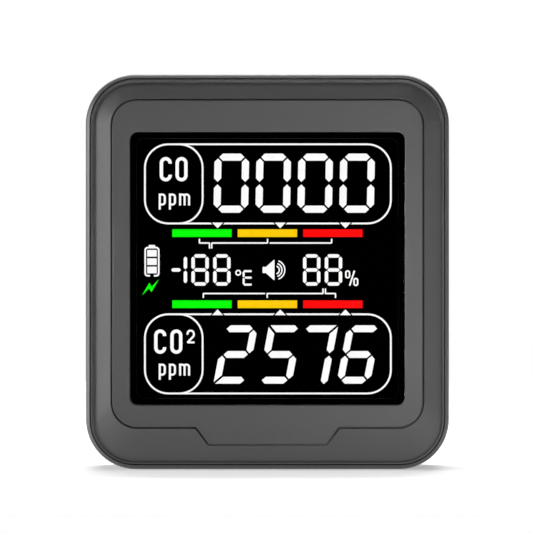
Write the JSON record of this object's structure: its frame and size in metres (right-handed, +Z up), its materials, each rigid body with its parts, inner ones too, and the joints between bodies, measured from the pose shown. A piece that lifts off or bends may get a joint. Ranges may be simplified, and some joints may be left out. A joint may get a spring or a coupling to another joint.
{
  "type": "carbon dioxide monitor",
  "caption": "Free-standing air monitor for carbon dioxide and carbon monoxide: rounded upright case, sloping bezel, large lit display, top push buttons, fold-out rear stand.",
  "frame": {"origin": "centre of the case's footprint, on the surface that it stands on", "axes": "+Z up, -Y out of the display, +X to the right seen from the front"},
  "size_m": [0.076, 0.03, 0.0826],
  "materials": {
    "rear_plastic": "fine moulded texture, dark grey",
    "bezel_plastic": "fine moulded texture, dark grey",
    "face_plastic": "fine moulded texture, dark grey",
    "window_acrylic": "gloss black tinted pane",
    "black_adhesive": "thin black tape",
    "kickstand_plastic": "fine moulded texture, dark grey",
    "button_plastic": "satin, dark grey",
    "plunger_plastic": "satin, off white",
    "filter_mesh": "fine black mesh",
    "switch_body": "satin black",
    "screw_steel": "zinc plated",
    "foam": "soft black foam",
    "polariser": "smooth dark film",
    "lcd_glass": "polished dark display glass",
    "diffuser": "milky film",
    "clear_acrylic": "polished clear acrylic",
    "white_plastic": "satin white",
    "led_package": "small diode packages",
    "tinned_pins": "tin plated",
    "circuit_board": "green solder mask",
    "chip_epoxy": "moulded epoxy",
    "sensor_board": "blue solder mask",
    "gold_chamber": "gold plated sheet",
    "sensor_cell_plastic": "satin off white",
    "sensor_filter": "white porous membrane",
    "buzzer_plastic": "satin black",
    "battery_foil": "laminated foil pouch",
    "battery_tape": "foam tape",
    "lead_red": "silicone insulation",
    "lead_black": "silicone insulation",
    "socket_steel": "nickel plated",
    "socket_plastic": "satin black",
    "display_white": "lit display segments, white",
    "display_green": "lit display bar, green",
    "display_yellow": "lit display bar, yellow",
    "display_red": "lit display bar, red"
  },
  "bodies": {
    "housing": {"rear_shell": "rear_plastic", "front_bezel": "bezel_plastic", "face_plate": "face_plastic", "display_window": "window_acrylic", "window_adhesive": "black_adhesive", "tact_switches": "switch_body", "case_screws": "screw_steel", "board_screws": "screw_steel", "dust_filters": "filter_mesh", "lcd_foam_gasket": "foam", "front_polariser": "polariser", "lcd_front_glass": "lcd_glass", "lcd_rear_glass": "lcd_glass", "diffuser_film": "diffuser", "light_guide": "clear_acrylic", "backlight_frame": "white_plastic", "backlight_leds": "led_package", "lcd_pins": "tinned_pins", "main_board": "circuit_board", "board_chips": "chip_epoxy", "co2_sensor_board": "sensor_board", "co2_sensor_chamber": "gold_chamber", "co_sensor_cell": "sensor_cell_plastic", "co_sensor_filter": "sensor_filter", "climate_sensor": "chip_epoxy", "buzzer": "buzzer_plastic", "battery": "battery_foil", "battery_tape": "battery_tape", "battery_connector": "white_plastic", "battery_lead_red": "lead_red", "battery_lead_black": "lead_black", "usb_c_shell": "socket_steel", "usb_c_tongue": "socket_plastic"},
    "kickstand": {"kickstand": "kickstand_plastic"},
    "power_button": {"power_button": "button_plastic", "power_plunger": "plunger_plastic"},
    "mute_button": {"mute_button": "button_plastic", "mute_plunger": "plunger_plastic"},
    "unit_button": {"unit_button": "button_plastic", "unit_plunger": "plunger_plastic"}
  },
  "joints": [
    {"name": "kickstand_hinge", "type": "hinge", "parent": "housing", "child": "kickstand", "pos_m": [0, 0.0132, 0.054], "axis": [1, 0, 0], "range_deg": [0, 45]},
    {"name": "power_press", "type": "slide", "parent": "housing", "child": "power_button", "axis": [0, 0, -1], "range_m": [0, 0.0004], "stiffness_N_per_m": 2500},
    {"name": "mute_press", "type": "slide", "parent": "housing", "child": "mute_button", "axis": [0, 0, -1], "range_m": [0, 0.0004], "stiffness_N_per_m": 2500},
    {"name": "unit_press", "type": "slide", "parent": "housing", "child": "unit_button", "axis": [0, 0, -1], "range_m": [0, 0.0004], "stiffness_N_per_m": 2500}
  ]
}
